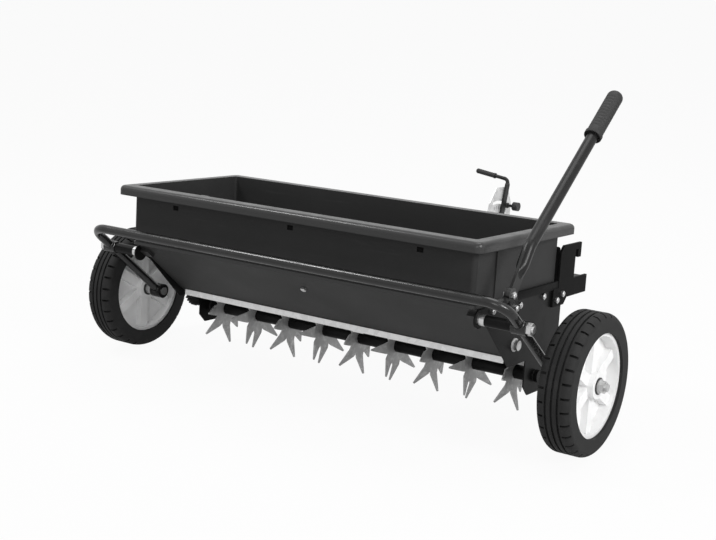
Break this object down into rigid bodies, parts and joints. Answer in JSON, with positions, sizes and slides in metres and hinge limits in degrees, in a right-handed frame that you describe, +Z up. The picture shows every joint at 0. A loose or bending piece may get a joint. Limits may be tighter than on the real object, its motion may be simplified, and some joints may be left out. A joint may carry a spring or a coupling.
{
  "type": "tow behind spike aerator",
  "caption": "Tow behind lawn aerator with a gang of star spikes under a drop spreader hopper, a lever that lifts the wheels, and a tongue with a pin hitch.",
  "frame": {"origin": "on the floor, under the middle of the overall box", "axes": "+X along the axle to the lever side, +Y forward to the tractor, +Z up; it stands on both tyres and the nose of the hitch"},
  "size_m": [1.3786, 1.3866, 0.721],
  "materials": {
    "hopper_plastic": "moulded black, fine grain",
    "frame_paint": "black powder coat",
    "galvanised": "galvanised sheet",
    "zinc": "bright zinc",
    "rubber": "soft grip",
    "black_plastic": "moulded",
    "tyre": "treaded rubber",
    "hub_white": "moulded white",
    "nylon": "natural nylon"
  },
  "bodies": {
    "chassis": {"hopper": "hopper_plastic", "outlet_plate": "galvanised", "shutter_screws": "zinc", "left_side_plate": "frame_paint", "right_side_plate": "frame_paint", "side_bolts": "zinc", "rest_pads": "rubber", "left_tow_bracket": "frame_paint", "right_tow_bracket": "frame_paint", "bracket_bolts": "zinc", "crossbar": "frame_paint", "tongue": "frame_paint", "tongue_gussets": "frame_paint", "upper_hitch_strap": "frame_paint", "lower_hitch_strap": "frame_paint", "hitch_bolts": "zinc", "flow_quadrant": "galvanised", "quadrant_bolts": "zinc", "flow_stop": "black_plastic", "pivot_studs": "zinc", "pivot_nuts": "zinc", "shaft_bearings": "black_plastic", "idler_pin": "zinc", "agitator_bushes": "nylon"},
    "wheel_frame": {"wheel_bail": "frame_paint", "left_axle": "zinc", "right_axle": "zinc", "pivot_sleeves": "frame_paint", "lift_lever": "frame_paint", "lever_grip": "rubber", "lever_bolts": "zinc", "axle_nuts": "zinc"},
    "left_wheel": {"left_tyre": "tyre", "left_hub": "hub_white", "left_wheel_bushes": "black_plastic"},
    "right_wheel": {"right_tyre": "tyre", "right_hub": "hub_white", "right_wheel_bushes": "black_plastic"},
    "spike_gang": {"spike_shaft": "frame_paint", "star_1": "galvanised", "star_2": "galvanised", "star_3": "galvanised", "star_4": "galvanised", "star_5": "galvanised", "star_6": "galvanised", "star_7": "galvanised", "star_8": "galvanised", "star_9": "galvanised", "spike_spacers": "frame_paint", "star_gear": "nylon"},
    "idler": {"idler_gear": "nylon"},
    "agitator": {"agitator_gear": "nylon", "agitator_shaft": "zinc"},
    "flow_lever": {"flow_lever": "frame_paint", "flow_grip": "rubber"},
    "shutter": {"shutter_plate": "galvanised", "control_rod": "zinc"}
  },
  "joints": [
    {"name": "lift", "type": "hinge", "parent": "chassis", "child": "wheel_frame", "pos_m": [0, -0.61557, 0.30178], "axis": [1, 0, 0], "range_deg": [0, 20]},
    {"name": "left_wheel_spin", "type": "hinge", "parent": "wheel_frame", "child": "left_wheel", "pos_m": [-0.635, -0.45874, 0.1524], "axis": [1, 0, 0], "continuous": true},
    {"name": "right_wheel_spin", "type": "hinge", "parent": "wheel_frame", "child": "right_wheel", "pos_m": [0.635, -0.45874, 0.1524], "axis": [1, 0, 0], "continuous": true},
    {"name": "spike_spin", "type": "hinge", "parent": "chassis", "child": "spike_gang", "pos_m": [0, -0.35824, 0.1042], "axis": [1, 0, 0], "continuous": true},
    {"name": "idler_spin", "type": "hinge", "parent": "chassis", "child": "idler", "pos_m": [0, -0.40476, 0.15915], "axis": [1, 0, 0], "continuous": true},
    {"name": "agitator_spin", "type": "hinge", "parent": "chassis", "child": "agitator", "pos_m": [0, -0.46069, 0.20449], "axis": [1, 0, 0], "continuous": true},
    {"name": "flow_swing", "type": "hinge", "parent": "chassis", "child": "flow_lever", "pos_m": [0, 0.25709, 0.19904], "axis": [1, 0, 0], "range_deg": [0, 36.7]},
    {"name": "shutter_slide", "type": "slide", "parent": "chassis", "child": "shutter", "axis": [0, 0.9945, -0.1049], "range_m": [0, 0.01702]}
  ],
  "couplings": [
    {"joint": "idler_spin", "follows": "spike_spin", "ratio": -0.71429},
    {"joint": "agitator_spin", "follows": "spike_spin", "ratio": 1},
    {"joint": "shutter_slide", "follows": "flow_swing", "m_per_rad": 0.026541}
  ]
}
